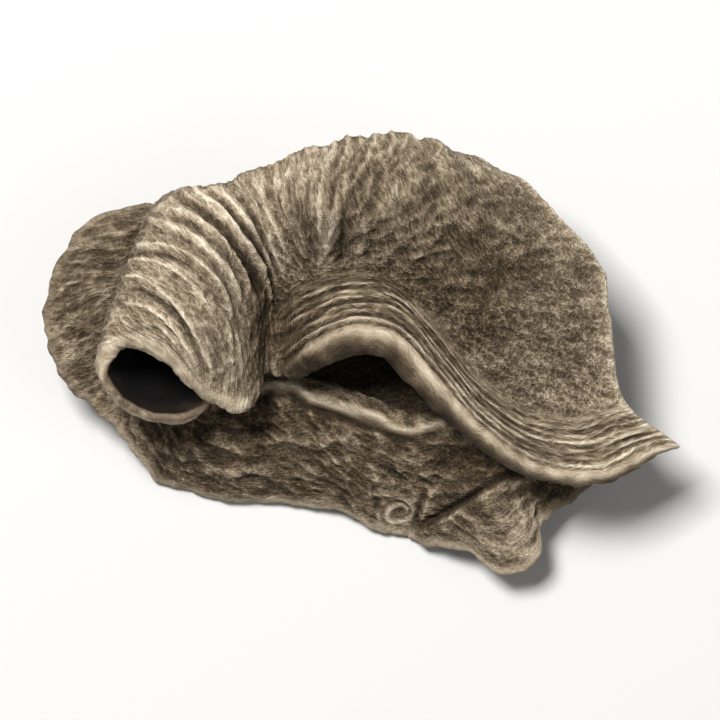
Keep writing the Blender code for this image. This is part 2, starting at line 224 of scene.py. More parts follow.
def run_along(steps, axis):
    """How far each point of a grid is along one way through it, from the steps between points."""
    start = np.zeros_like(steps.take([0], axis=axis))
    return np.concatenate([start, np.cumsum(steps, axis=axis)], axis=axis)


def spaced_samples(points, count, closeness):
    """Sample positions along a row of points, evenly spaced on its curve but for the given closeness."""
    fine = np.linspace(0, len(points) - 1, 40 * len(points))
    steps = np.linalg.norm(np.diff(through(points, fine), axis=0), axis=1)
    steps = steps * np.interp(fine[1:], *zip(*closeness))
    run = run_along(steps, 0)
    return np.interp(np.linspace(0, run[-1], count), run, fine)


def unit(vectors):
    return vectors / np.maximum(np.linalg.norm(vectors, axis=-1, keepdims=True), 1e-9)


def slopes(surface):
    """How a grid of points changes along its rows' numbers and along its columns' numbers."""
    return np.gradient(surface, axis=0), np.gradient(surface, axis=1)


def normals_of(surface):
    """Unit normals of a grid of points, out of the hairy side."""
    along, across = slopes(surface)
    return unit(np.cross(along, across))


def grain(surface, size, seed):
    """Smooth noise over a grid of points, in features of about this size in millimetres."""
    offset = Vector((17.3 * seed, -9.1 * seed, 5.7 * seed))
    points = surface.reshape(-1, 3) / size
    values = [noise.noise(Vector(point) + offset) for point in points.tolist()]
    return np.array(values).reshape(surface.shape[:2])


def sampled(grid, row, column):
    """A grid's values at fractional rows and columns."""
    row = np.clip(row, 0, grid.shape[0] - 1.001)
    column = np.clip(column, 0, grid.shape[1] - 1.001)
    r, c = row.astype(int), column.astype(int)
    s, t = row - r, column - c
    if grid.ndim == 3:
        s, t = s[..., None], t[..., None]
    low = grid[r, c] * (1 - t) + grid[r, c + 1] * t
    high = grid[r + 1, c] * (1 - t) + grid[r + 1, c + 1] * t
    return low * (1 - s) + high * s


def grid_flow(surface, flow, stride):
    """A flow over a surface as steps in rows and columns, each step the stride long."""
    along, across = slopes(surface)
    aa = (along * along).sum(-1)
    ac = (along * across).sum(-1)
    cc = (across * across).sum(-1)
    fa = (along * flow).sum(-1)
    fc = (across * flow).sum(-1)
    size = np.maximum(aa * cc - ac * ac, 1e-9)
    rows = (fa * cc - fc * ac) / size
    columns = (fc * aa - fa * ac) / size
    moved = along * rows[..., None] + across * columns[..., None]
    scale = stride / np.maximum(np.linalg.norm(moved, axis=-1), 1e-9)
    return np.stack([rows * scale, columns * scale], axis=-1)


def combed(surface, flow, texture, reach, stride=0.16):
    """A texture drawn out along a flow, into streaks about twice the reach long, in millimetres."""
    steps = grid_flow(surface, flow, stride)
    row, column = np.indices(texture.shape).astype(float)
    total = texture.copy()
    for side in (1, -1):
        r, c = row.copy(), column.copy()
        heading = steps * side
        for _ in range(int(reach / stride)):
            r, c = r + heading[..., 0], c + heading[..., 1]
            total += sampled(texture, r, c)
            ahead = sampled(steps, r, c)
            turned = (ahead * heading).sum(-1, keepdims=True) < 0
            heading = np.where(turned, -ahead, ahead)
    return total / total.std()


def crests(streaks, sharpness=1.1):
    """Sharp-topped ridges, from 0 in the valleys to 1 on the crests, where smooth streaks cross zero."""
    return np.clip(1 - np.abs(streaks) * sharpness, 0, 1)


LINE_STEPS = 14  # points along a listed line for each one given


def near_line(surface, path, reach):
    """Which points of a grid are near a given line seen from above, how far to its right each of them
    lies in millimetres, and how far along the line, from 0 to 1."""
    path = np.array(path, float)
    line = through(path, np.linspace(0, len(path) - 1, LINE_STEPS * len(path)))
    flat = surface[..., :2]
    near = ((flat > line.min(0) - reach) & (flat < line.max(0) + reach)).all(-1)
    gaps = np.linalg.norm(flat[near][:, None] - line[None], axis=-1)
    nearest = gaps.argmin(1)
    heading = np.gradient(line, axis=0)[nearest]
    away = flat[near] - line[nearest]
    side = np.where(heading[:, 1] * away[:, 0] < heading[:, 0] * away[:, 1], -1, 1)
    return near, gaps.min(1) * side, nearest / (len(line) - 1)


def faded(along, ends, power):
    """1 along the middle of a line, and less towards its ends."""
    return np.sin(np.pi * np.clip(along, ends, 1 - ends)) ** power


def strokes(surface, paths):
    """Height added by listed ridges and grooves, each as (height, width, points seen from above)."""
    total = np.zeros(surface.shape[:2])
    for height, width, path in paths:
        near, offset, along = near_line(surface, path, 4 * width)
        total[near] += height * faded(along, 0.02, 0.35) * bump(offset, 0, width)
    return total


def ledges(surface, paths):
    """Height added on one side of listed lines, each as (height, reach, points seen from above). It rises
    at the line, on the right of the line's way, and fades over the reach."""
    total = np.zeros(surface.shape[:2])
    for height, reach, path in paths:
        near, offset, along = near_line(surface, path, reach)
        step = smooth(offset, -0.3, 0.2) * (1 - smooth(offset, 0.3, reach))
        total[near] += height * faded(along, 0.01, 0.4) * step
    return total


def spots(surface, ovals):
    """Values added in soft-edged ovals, each as (amount, middle, half widths) seen from above."""
    total = np.zeros(surface.shape[:2])
    for amount, middle, halves in ovals:
        total += amount * np.exp(-(((surface[..., :2] - middle) / halves) ** 2).sum(-1))
    return total


# The sheet

def root_line(root, count):
    """The points where a lobe's ribs leave the stub."""
    centre, half_width, half_depth, height, first, last = root
    angle = np.radians(np.linspace(first, last, count))
    x = centre[0] + half_width * np.cos(angle)
    y = centre[1] + half_depth * np.sin(angle)
    return np.stack([x, y, np.full(count, height)], axis=1)


def rolled(surface, roll, samples, rows):
    """The surface with its margin carried on round a small roll, towards its underside."""
    radius, turn = through(roll, samples).T
    radius = np.maximum(radius, 0.1)[:, None] * np.ones(3)
    turn = np.radians(np.maximum(turn, 0))[:, None]
    end = surface[-1]
    ahead = unit(end - surface[-2])
    up = normals_of(surface)[-1]
    added = []
    for step in range(1, rows + 1):
        angle = turn * (1 - (1 - step / rows) ** 1.35)
        added.append(end + radius * (np.sin(angle) * ahead - (1 - np.cos(angle)) * up))
    return np.concatenate([surface, np.array(added)])


class Lobe:
    """The fine middle surface of a lobe, with where each point lies on it."""

    def __init__(self, root, guides, roll, rows, roll_rows, columns, closeness):
        guides = np.array([root_line(root, len(roll)), *guides])
        self.across = spaced_samples(guides[-2], columns + 1, closeness)
        spans = [np.arange(count) / count + guide for guide, count in enumerate(rows)]
        self.along = np.concatenate([*spans, [len(guides) - 1]])
        lines = through(guides, self.along)
        surface = through(lines.transpose(1, 0, 2), self.across).transpose(1, 0, 2)
        self.surface = rolled(surface, roll, self.across, roll_rows)
        beyond = len(guides) - 1 + np.arange(1, roll_rows + 1) / roll_rows
        self.along = np.concatenate([self.along, beyond])
        self.u = self.across[None, :] * np.ones((len(self.along), 1))
        self.v = self.along[:, None] * np.ones((1, len(self.across)))
        self.lip_row = sum(rows)
        self.raised = np.zeros(self.u.shape)
        self.measure()

    def measure(self):
        """Distances in millimetres: to the free edge, and back along each rib from where its roll starts."""
        outward, crosswise = (
            run_along(np.linalg.norm(np.diff(self.surface, axis=axis), axis=2), axis) for axis in (0, 1)
        )
        self.to_margin = outward[-1] - outward
        self.to_lip = outward[self.lip_row] - outward
        self.to_side = np.minimum(crosswise, crosswise[:, -1:] - crosswise)
        self.crosswise = crosswise
        self.rib_spread = crosswise[self.lip_row // 2][None] * np.ones(crosswise.shape)
        self.to_edge = np.minimum(self.to_margin, self.to_side)
        self.facing_up = smooth(normals_of(self.surface)[..., 2], 0.05, 0.5)

    def grain(self, size, seed):
        return grain(self.surface, size, seed)

    def ribs(self):
        return unit(slopes(self.surface)[0])

    def rings(self):
        return unit(slopes(self.surface)[1])


def ragged_edge(lobe, amount, size, seed):
    """Makes the free margin slightly uneven."""
    wander = lobe.grain(size, seed)[-1] + 0.5 * lobe.grain(size / 3, seed + 1)[-1]
    near = smooth(-lobe.to_margin, -2.5, 0)
    ahead = unit(lobe.surface[lobe.lip_row] - lobe.surface[lobe.lip_row - 3])
    lobe.surface = lobe.surface + ahead[None] * (near * wander[None] * amount)[..., None]


# Waves of the fan's right-hand margin, as (place along Y, move outward) in millimetres.
SIDE_WAVES = [(2.0, 0.0), (4.2, 0.1), (6.6, 0.85), (8.8, 0.1), (10.4, -1.05), (12.2, -0.8), (13.4, 0.0)]
SIDE_REACH = 4.5


def wave_side(lobe):
    """Gives the fan's right-hand margin its shoulder and the hollow behind it."""
    margin = lobe.surface[:, -1:]
    outward = unit(margin - lobe.surface[:, -8:-7])
    move = np.interp(margin[..., 1], *zip(*SIDE_WAVES))
    near = smooth(lobe.crosswise - lobe.crosswise[:, -1:], -SIDE_REACH, 0.0)
    lobe.surface = lobe.surface + outward * (move * near)[..., None]
    lobe.measure()


# The free corner of the sheet under the tube's mouth: how far along the margin it is rounded, in ribs, how
# many rows of the grid it is cut back by, and the row that this starts from.
CORNER_SPAN = 0.85
CORNER_ROWS = 52
CORNER_START = 72


def round_corner(lobe):
    """Rounds off the corner where the mouth's rim meets the edge of the sheet under the tube."""
    share = np.clip(1 - lobe.across / CORNER_SPAN, 0, 1)
    short = CORNER_ROWS * (1 - np.sqrt(1 - share**2))
    row, column = np.indices(lobe.u.shape).astype(float)
    length = len(lobe.along) - 1 - CORNER_START
    row = np.where(row > CORNER_START, CORNER_START + (row - CORNER_START) * (1 - short / length), row)
    lobe.surface = sampled(lobe.surface, row, column)
    lobe.measure()


# Relief of the upper lobe

TUBE_RIDGES = [
    (0.23, 0.15, [(-16.4, 2.8), (-15.5, 2.6), (-14.3, 1.2), (-13.5, -0.1), (-12.8, -1.2), (-12.2, -2.0)]),
    (0.32, 0.15, [(-17.8, 4.2), (-16.8, 4.1), (-15.4, 3.3), (-14.2, 2.1), (-13.3, 0.6), (-12.7, -0.8)]),
    (-0.32, 0.16, [(-17.6, 5.4), (-16.6, 5.1), (-15.0, 4.1), (-13.7, 2.6), (-12.8, 0.9), (-12.2, -0.8)]),
    (0.41, 0.17, [(-18.6, 6.2), (-16.8, 6.2), (-15.2, 5.1), (-13.9, 3.6), (-12.9, 1.9), (-12.1, 0.2),
                  (-11.6, -1.2)]),
    (0.31, 0.17, [(-18.6, 7.1), (-16.8, 7.6), (-15.0, 7.2), (-13.6, 6.2), (-12.4, 4.7), (-11.6, 3.0)]),
    (-0.23, 0.14, [(-18.2, 7.8), (-16.6, 8.1), (-14.9, 7.9), (-13.3, 7.1), (-12.0, 5.7), (-11.1, 4.0)]),
    (0.32, 0.17, [(-18.0, 8.4), (-16.5, 8.7), (-14.8, 8.7), (-13.2, 8.0), (-12.0, 6.8), (-11.0, 5.3),
                  (-10.4, 3.4)]),
    (0.22, 0.14, [(-11.3, 4.4), (-10.7, 2.6), (-10.5, 0.6), (-10.4, -1.4)]),
    (0.16, 0.12, [(-10.2, 2.6), (-9.9, 0.6), (-9.7, -1.6)]),
    (-0.18, 0.12, [(-16.9, 9.6), (-15.2, 9.7), (-13.6, 9.1), (-12.2, 7.9), (-11.2, 6.5), (-10.5, 5.0)]),
]
PLEATS = [
    (0.38, 0.24, [(-16.0, 10.6), (-14.2, 10.0), (-12.7, 9.1), (-11.4, 7.8), (-10.3, 6.2), (-9.6, 4.2)]),
    (-0.24, 0.17, [(-15.2, 11.1), (-13.6, 10.5), (-12.0, 9.3), (-10.8, 8.0), (-9.9, 6.4)]),
    (0.32, 0.22, [(-14.9, 11.7), (-13.4, 11.0), (-11.8, 10.0), (-10.5, 8.6), (-9.6, 7.0), (-9.0, 5.2)]),
    (-0.71, 0.26, [(-14.2, 12.4), (-12.8, 11.6), (-11.4, 10.3), (-10.2, 8.8), (-9.2, 7.2), (-8.4, 5.4)]),
    (0.47, 0.24, [(-12.9, 12.7), (-11.4, 11.6), (-10.0, 10.0), (-8.9, 8.3), (-8.0, 6.5), (-7.4, 5.0)]),
    (-0.34, 0.18, [(-12.0, 12.9), (-10.5, 11.6), (-9.2, 9.9), (-8.2, 8.1), (-7.4, 6.3)]),
    (0.38, 0.22, [(-11.4, 13.2), (-9.9, 11.7), (-8.6, 9.8), (-7.6, 8.0), (-6.8, 6.2)]),
    (-0.28, 0.18, [(-10.5, 13.3), (-9.1, 11.7), (-7.9, 9.8), (-7.0, 8.0)]),
    (0.27, 0.21, [(-9.9, 13.8), (-8.5, 12.0), (-7.4, 10.0), (-6.6, 8.1), (-6.0, 6.5)]),
    (0.21, 0.2, [(-8.2, 13.6), (-7.2, 11.8), (-6.3, 9.9), (-5.6, 8.2)]),
]
FAN_FOLDS = [
    (0.3, 0.42, [(-2.0, 12.4), (-2.2, 10.6), (-2.6, 8.7), (-3.2, 7.2)]),
    (-0.34, 0.2, [(-1.2, 11.8), (-1.3, 9.7), (-1.6, 7.8)]),
    (0.22, 0.2, [(3.1, 6.9), (4.4, 8.2), (5.9, 9.8)]),
    (0.18, 0.18, [(1.7, 7.6), (2.8, 9.1), (3.7, 10.7)]),
    (-0.2, 0.18, [(2.3, 7.3), (3.5, 8.6), (4.6, 10.2)]),
    (0.16, 0.2, [(-0.1, 7.8), (0.3, 9.6), (0.8, 11.6)]),
    (-0.16, 0.18, [(0.5, 7.8), (1.1, 9.8), (1.7, 11.6)]),
    (0.18, 0.24, [(-4.9, 11.9), (-4.5, 9.6), (-4.4, 7.6)]),
    (-0.2, 0.22, [(-3.6, 11.6), (-3.6, 9.5), (-3.9, 7.5)]),
]
# Folds that run over the fan's back horizon, as (position along the fan, height, width) in millimetres.
HORIZON_FOLDS = [
    (-9.2, 0.2, 0.7), (-6.6, -0.2, 0.6), (-4.2, 0.2, 0.8), (-2.4, -0.22, 0.45), (-0.8, 0.2, 0.7),
    (0.8, -0.2, 0.35), (3.0, 0.24, 0.9), (4.5, -0.26, 0.35), (5.8, 0.2, 0.6), (7.4, -0.2, 0.5),
    (9.4, 0.15, 0.9),
]
FAN_LINES = 22  # fine ridges on the fan's top
# The growth ridges behind the fan's lip, in millimetres: from one to the next, and from the lip to the last.
GROWTH_SPACING = 0.68
GROWTH_REACH = 5.2


# Pale and brown ovals of the upper lobe, as (paler by, middle, half widths), and its shoulder. The brown ones
# in the valley beside the tube and behind the lip's left end are painted shade; the pale one high on the
# fan's left is a painted highlight.
UPPER_SPOTS_AND_PAINTED_LIGHT = [
    (0.45, KNOB, (1.4, 1.6)), (0.16, (-10.2, 0.5), (1.8, 4.5)), (0.46, (-6.5, 12.0), (3.5, 3.0)),
    (-0.26, (9.0, 5.6), (7.0, 4.6)), (-0.44, (-6.0, 3.0), (2.6, 3.4)), (-0.5, (-4.6, 0.4), (1.3, 1.2)),
    (-0.18, (-0.5, 7.0), (3.4, 2.2)),
]
SHOULDER = (1.0, (16.5, 6.0), (3.5, 6.0))


def fan_lines():
    """Fine ridges that spread over the fan's top from the hollow beside the tube."""
    chosen = np.random.default_rng(4)
    lines = []
    for line in range(FAN_LINES):
        angle = math.radians(118 - 96 * line / (FAN_LINES - 1) + chosen.uniform(-2, 2))
        start = chosen.uniform(2.0, 4.5)
        length = chosen.uniform(2.5, 5.5)
        heading = np.array([math.cos(angle), math.sin(angle)])
        points = [np.array(PINCH) + heading * (start + length * share) for share in (0, 0.5, 1)]
        points[1] = points[1] + chosen.uniform(-0.15, 0.15, 2)
        lines.append((chosen.choice([0.16, -0.14, 0.12]), chosen.uniform(0.16, 0.26), points))
    return lines


def upper_zones(lobe):
    """How much each point belongs to the tube, the pleats, the fan's top and the band behind its lip."""
    u, v = lobe.u, lobe.v
    tube = 1 - smooth(u, 6.2, 7.4)
    fan = smooth(u, 8.2, 9.6)
    pleats = (1 - tube) * (1 - fan) + tube * smooth(u, 4.0, 5.5) * (1 - smooth(v, 3.6, 4.6))
    band = fan * smooth(-lobe.to_lip, -GROWTH_REACH - 1, -GROWTH_REACH + 0.8)
    top = fan * smooth(v, 1.2, 2.0) * (1 - smooth(v, 3.6, 4.4)) * (1 - band)
    top = top * (1 - 0.65 * smooth(lobe.surface[..., 0], 8.5, 13.0))
    return tube, pleats, top, band


def ring_line_place(lobe):
    """A distance that stays the same along each wrinkle of the tube and each pleat beside it."""
    x, y = lobe.surface[..., 0], lobe.surface[..., 1]
    return np.hypot(x - MOUTH[0], y - MOUTH[1]) + PLEAT_LEAN * x


def upper_flow(lobe, zones):
    """The direction of the wrinkles over the upper lobe."""
    tube, pleats, top, band = zones
    ribs, rings = lobe.ribs(), lobe.rings()
    x, y = lobe.surface[..., 0], lobe.surface[..., 1]
    nothing = np.zeros_like(x)
    away_x, away_y = x - MOUTH[0], y - MOUTH[1]
    away = np.maximum(np.hypot(away_x, away_y), 0.1)
    round_mouth = unit(np.stack([away_y / away, -away_x / away - PLEAT_LEAN, nothing], axis=-1))
    from_pinch = unit(np.stack([x - PINCH[0], y - PINCH[1], nothing], axis=-1))
    on_top = smooth(lobe.v, 1.6, 2.6)[..., None]
    down_back = -ribs

    def aligned(flow, guide):
        return np.where((flow * guide).sum(-1, keepdims=True) < 0, -flow, flow)

    pleat_flow = aligned(round_mouth, ribs) * on_top + ribs * (1 - on_top)
    rings = aligned(rings, round_mouth)
    tube_flow = rings + (round_mouth - rings) * lobe.facing_up[..., None]
    top_flow = aligned(from_pinch, down_back) * on_top + down_back * (1 - on_top)
    weights = [tube * (1 - pleats), pleats * (1 - band), top + 0.05, band]
    flows = [tube_flow, pleat_flow, top_flow, rings]
    flow = np.zeros_like(lobe.surface)
    for weight, part in zip(weights, flows):
        flow = flow + weight[..., None] * aligned(part, flow)
    return unit(flow)


def upper_folds(lobe):
    """The large folds, which both sides of the sheet follow."""
    height = strokes(lobe.surface, PLEATS + TUBE_RIDGES + FAN_FOLDS) * lobe.facing_up * 0.8
    horizon_x = through([point[0] for point in UPPER_HORIZON], lobe.across)[None, :]
    over = smooth(lobe.v, 0.9, 1.7) * (1 - smooth(lobe.v, 2.5, 3.2))
    for position, fold, width in HORIZON_FOLDS:
        height += fold * bump(horizon_x, position, width) * over
    height += 0.22 * lobe.grain(5.0, 3) + 0.1 * lobe.grain(2.2, 5)
    height += 0.3 * bump(lobe.to_side, 0.5, 0.5) * smooth(lobe.u, 12, 14)
    keep = smooth(lobe.v, 0.3, 1.0) * (1 - 0.8 * smooth(lobe.v, 6.0, 6.4))
    return height * keep


def growth_ridges(lobe, band):
    """Ridges behind the fan's lip, side by side along it."""
    wander = 0.3 * lobe.grain(5.0, 7) + 0.1 * lobe.grain(1.6, 8)
    phase = 2 * math.pi * (lobe.to_lip / GROWTH_SPACING + wander)
    inside = smooth(lobe.to_lip, 0.1, 0.4) * (1 - smooth(lobe.to_lip, GROWTH_REACH - 2.0, GROWTH_REACH))
    strength = 0.8 + 1.2 * lobe.grain(2.0, 9)
    streaks = combed(lobe.surface, lobe.rings(), lobe.grain(0.55, 10), 4.0)
    waves = np.clip(strength, 0, 1) * np.cos(phase) + 0.6 * np.clip(streaks, -1.4, 1.4)
    return band * inside * waves


def mouth_rim(lobe, tube):
    """1 on the pale rim round the tube's mouth."""
    return tube * smooth(-lobe.to_lip, -0.9, -0.2) * (1 - smooth(lobe.v, 6.5, 6.9))


def upper_relief(lobe, zones):
    """Height of the hairy side's wrinkles in millimetres, and how far up one each point is, from 0 to 1. The
    second also darkens the drawn grooves as painted shade and carries painted highlights.
    """
    tube, pleats, top, band = zones
    flow = upper_flow(lobe, zones)
    fine = crests(combed(lobe.surface, flow, lobe.grain(0.5, 11), 0.9))
    broad = crests(combed(lobe.surface, flow, lobe.grain(0.95, 13), 2.0), 0.9)
    stipple = crests(lobe.grain(0.8, 15) * 4.5, 1.2)
    lined = np.clip(tube + pleats + top + band, 0, 1)
    broad = broad * (1 - 0.75 * tube)
    height = 0.13 * fine + 0.15 * broad * (0.3 + 0.7 * lined) + 0.07 * stipple * (1 - 0.7 * lined)
    growth = growth_ridges(lobe, band)
    drawn = strokes(lobe.surface, TUBE_RIDGES + PLEATS + FAN_FOLDS + fan_lines()) * lobe.facing_up
    height = height * (1 - 0.6 * band) + 0.15 * growth + 0.3 * drawn
    roll = smooth(lobe.v, 5.9, 6.05) * smooth(lobe.u, 8.6, 9.8)
    height = height * (1 - 0.85 * roll)
    share = 0.42 * fine + 0.4 * broad * (0.4 + 0.6 * lined) + 0.2 * stipple * (1 - 0.6 * lined) + 1.6 * drawn
    share = share * (1 - 0.6 * band) + 0.55 * band * (growth + 0.45) + 0.1 * tube
    # On the lip's roll: mottling, and a painted highlight on its crest.
    crest = bump(lobe.v, 6.05, 0.13)
    roll_mottle_and_highlight = 0.28 + 0.55 * crest + 0.4 * lobe.grain(1.1, 17) + 0.3 * lobe.grain(2.3, 19)
    share = share * (1 - roll) + roll_mottle_and_highlight * roll
    rim = 0.5 * smooth(-lobe.to_side, -0.9, -0.2) + 0.1 * smooth(-lobe.to_side, -3.0, -0.5)
    # The bump along the back horizon is a painted highlight.
    share = share + rim * smooth(lobe.u, 10, 12) + 0.17 * bump(lobe.v, 2.2, 0.35)
    share = share + spots(lobe.surface, [(0.16, KNOB, (1.4, 1.6))])
    # Painted shade in the hollow behind the lip's left end.
    share = share * (1 - spots(lobe.surface, [(0.3, (-5.6, 1.6), (2.2, 2.6))]))
    rim = mouth_rim(lobe, tube)
    share = share * (1 - rim) + (0.72 + 0.3 * lobe.grain(0.9, 18)) * rim
    return height, np.clip(share, 0, 1)


def upper_tone(lobe, zones):
    """How pale each point is, from 0 for the brown hollows to 1 for the creamy edges. Part of it is painted
    light:
    shade in hollows and on the roll's outer face, and highlights on the tube's upward faces, the roll's crest
    and the back horizon.
    """
    tube, pleats, _, band = zones
    x, y = lobe.surface[..., 0], lobe.surface[..., 1]
    tone = 0.26 + 0.18 * lobe.grain(4.0, 21) + 0.14 * lobe.grain(1.6, 22) * (1 - 0.6 * tube)
    # The ovals add painted shade in the valley beside the tube and a painted highlight high on the fan's
    # left.
    tone += spots(lobe.surface, UPPER_SPOTS_AND_PAINTED_LIGHT) + 0.2 * pleats * lobe.grain(1.8, 23)
    # Painted light from above: the tube is paler where it faces up, and less so towards its right.
    tone += tube * (0.54 - 0.2 * smooth(x, -13.0, -10.5)) * lobe.facing_up
    tone += 0.12 * tube * smooth(-lobe.to_lip, -5.0, -1.5)
    tone += 0.4 * tube * smooth(-lobe.to_lip, -1.6, 0.2) + 0.2 * mouth_rim(lobe, tube)
    # Paler on the drawn ridges and darker in their grooves; the darkening of the grooves is painted shade.
    drawn = strokes(lobe.surface, TUBE_RIDGES + PLEATS) * lobe.facing_up
    tone += 1.5 * np.clip(drawn, -0.25, 0.3)
    tone += 0.08 * smooth(x, 10.0, 14.0) + 0.14 * band * smooth(-lobe.to_lip, -2.5, 0.0)
    # Painted highlight on the crest of the lip's roll, and painted shade on its outer face, which turns away
    # from the light.
    roll = smooth(lobe.v, 5.85, 6.0) * smooth(lobe.u, 8.8, 9.8)
    tone += roll * (0.5 * bump(lobe.v, 6.05, 0.12) - 0.26 * smooth(lobe.v, 6.12, 6.4))
    right = smooth(lobe.u, 10, 12)
    tone += right * (0.2 * smooth(-lobe.to_side, -3.0, -0.5) + 0.55 * smooth(-lobe.to_side, -0.9, -0.2))
    tone += (0.12 + 0.25 * lobe.grain(2.6, 24)) * spots(lobe.surface, [SHOULDER])
    tone += 0.4 * smooth(x, 11.0, 20.0) * smooth(-y, -1.0, 6.0)
    # Painted highlight along the fan's back horizon, where the sheet curves over.
    tone += 0.4 * bump(lobe.v, 2.05, 0.4)
    return np.clip(tone, 0, 1)


def inside_tube(lobe):
    """1 on the tube's inner side, where hardly any light reaches."""
    return (1 - smooth(lobe.u, 6.6, 7.6)) * smooth(lobe.to_lip, 0.3, 1.6)


def upper_grain(lobe, zones):
    """How far the finest hair lines follow the rings and the ribs, at each point of the upper lobe."""
    tube, pleats, top, band = zones
    ringwise = 0.62 * np.clip(tube + pleats, 0, 1) * (1 - band) + 0.85 * band
    ribwise = 0.65 * top * (1 - ringwise)
    plain = np.maximum(smooth(lobe.v, 5.9, 6.05) * smooth(lobe.u, 8.6, 9.8), smooth(lobe.v, 5.8, 6.0) * tube)
    return ringwise, ribwise, plain


# Relief of the lower lobe

# Lines over the flap, seen from above: the plateau's pale edge, the crease of the folded corner, where the
# plateau goes under the fan, and the dark feet of the plateau's edge and of the crease, which are painted
# shade.
PLATEAU_EDGE = [
    (-8.8, -2.8), (-6.9, -2.4), (-5.4, -2.5), (-4.2, -3.3), (-2.6, -3.8), (-0.4, -4.5), (1.3, -5.0),
    (3.0, -5.85), (4.5, -5.95), (6.1, -5.4), (7.4, -5.0),
]
CORNER_CREASE = [
    (4.4, -13.6), (5.1, -13.1), (6.8, -12.4), (8.7, -11.4), (10.3, -10.3), (11.9, -9.2), (13.0, -8.4),
]
PLATEAU_BACK = [
    (-9.5, -1.6), (-6.5, -1.2), (-4.4, -1.6), (-2.0, -2.3), (0.5, -3.3), (3.2, -4.2), (5.6, -4.7),
    (8.0, -5.6),
]
FLAP_LEDGES = [
    (0.7, 3.0, PLATEAU_EDGE[::-1]),
    (0.85, 4.5, CORNER_CREASE),
]
PLATEAU_FOOT = [
    (-7.6, -3.0), (-5.3, -3.0), (-4.0, -3.9), (-2.4, -4.4), (-0.2, -5.1), (1.5, -5.6), (3.2, -6.4),
    (4.7, -6.5), (6.4, -5.9),
]
CREASE_FOOT = [(4.7, -13.2), (6.5, -12.4), (8.4, -11.4), (10.0, -10.3), (11.6, -9.2)]
FLAP_RIDGES = [
    (0.55, 0.17, PLATEAU_EDGE),
    (-0.6, 0.24, PLATEAU_FOOT),
    (0.28, 0.3, [(-12.6, -6.2), (-10.6, -6.8), (-8.4, -6.6), (-6.0, -6.1), (-3.6, -6.9), (-1.8, -6.4),
                 (0.4, -6.9)]),
    (-0.26, 0.3, [(-11.8, -5.2), (-9.4, -5.7), (-7.0, -5.3), (-5.2, -5.2)]),
    (0.24, 0.26, [(-13.4, -8.4), (-11.0, -8.8), (-8.6, -8.6), (-6.0, -8.9), (-3.6, -9.0)]),
    (-0.2, 0.24, [(-12.2, -7.6), (-9.6, -7.8), (-7.2, -7.7), (-4.8, -7.9)]),
    (0.3, 0.26, [(-3.2, -8.6), (-1.6, -7.8), (0.2, -8.0), (1.6, -8.9), (0.8, -10.0)]),
    (0.3, 0.24, [(-0.2, -11.6), (0.6, -10.9), (1.5, -10.5), (3.0, -10.6), (4.2, -11.3), (4.3, -12.5),
                 (3.5, -13.3)]),
    (0.26, 0.24, [(4.9, -13.4), (5.3, -12.2), (5.7, -11.0), (6.0, -10.0)]),
    (-0.3, 0.26, [(4.6, -12.9), (4.9, -11.7), (5.2, -10.7)]),
    (0.22, 0.26, [(2.6, -7.6), (4.2, -8.2), (5.6, -9.2)]),
    (-0.5, 0.9, [(6.2, -7.4), (8.0, -7.8), (9.8, -8.0)]),
    (-0.8, 0.22, CREASE_FOOT),
    (0.3, 0.16, [(5.4, -13.3), (7.2, -12.6), (9.0, -11.5), (10.6, -10.4), (12.0, -9.4)]),
    (0.2, 0.2, [(12.7, -10.6), (13.4, -12.0), (13.6, -13.6), (13.2, -15.3)]),
    (0.18, 0.2, [(12.0, -10.9), (12.7, -12.3), (12.9, -13.8), (12.5, -15.4)]),
    (0.16, 0.2, [(11.3, -11.3), (11.9, -12.6), (12.1, -14.0), (11.8, -15.4)]),
    (0.14, 0.2, [(9.2, -12.6), (9.8, -13.6), (10.4, -14.8)]),
]
# The knot's middle, the distance from one turn of its ridge to the next, and the ridge's height.
CURL = (3.15, -12.05)
CURL_PITCH = 0.78
CURL_HEIGHT = 0.4
# Pale and brown ovals of the lower lobe, as (paler by, middle, half widths). The pale ones on the curled
# corner are a painted highlight, and the brown one under the tube's front is painted shade.
LOWER_SPOTS_AND_PAINTED_LIGHT = [
    (0.2, (12.8, -15.2), (1.2, 2.0)), (0.32, (11.5, -13.8), (3.2, 2.8)), (-0.1, (-2.0, -8.0), (8.0, 2.4)),
    (-0.2, (-9.0, -4.6), (6.0, 1.6)), (-0.36, (8.0, -8.6), (2.6, 1.7)), (0.16, (3.0, -12.0), (3.0, 1.6)),
]


def under_lip(lobe):
    """1 in the hollow under the fan, behind the plateau, where the sheet is lowered and darkened as painted
    shade.
    """
    back = np.interp(lobe.surface[..., 0], *zip(*PLATEAU_BACK))
    return smooth(lobe.surface[..., 1] - back, -0.25, 0.25) * (1 - smooth(-lobe.surface[..., 0], 9.5, 11.0))


def knot(lobe):
    """The small puckered knot at the flap's front margin: a ridge that winds out of a pit."""
    away = (lobe.surface[..., :2] - CURL) * (1.0, 1.3)
    distance = np.linalg.norm(away, axis=-1) + 0.45 * lobe.grain(1.3, 37)
    turns = np.arctan2(away[..., 1], away[..., 0]) / (2 * math.pi)
    ridge = np.cos(2 * math.pi * (distance / CURL_PITCH - turns + 0.35))
    return CURL_HEIGHT * (ridge * bump(distance, 0.9, 0.65) - 1.2 * bump(distance, 0.0, 0.35))


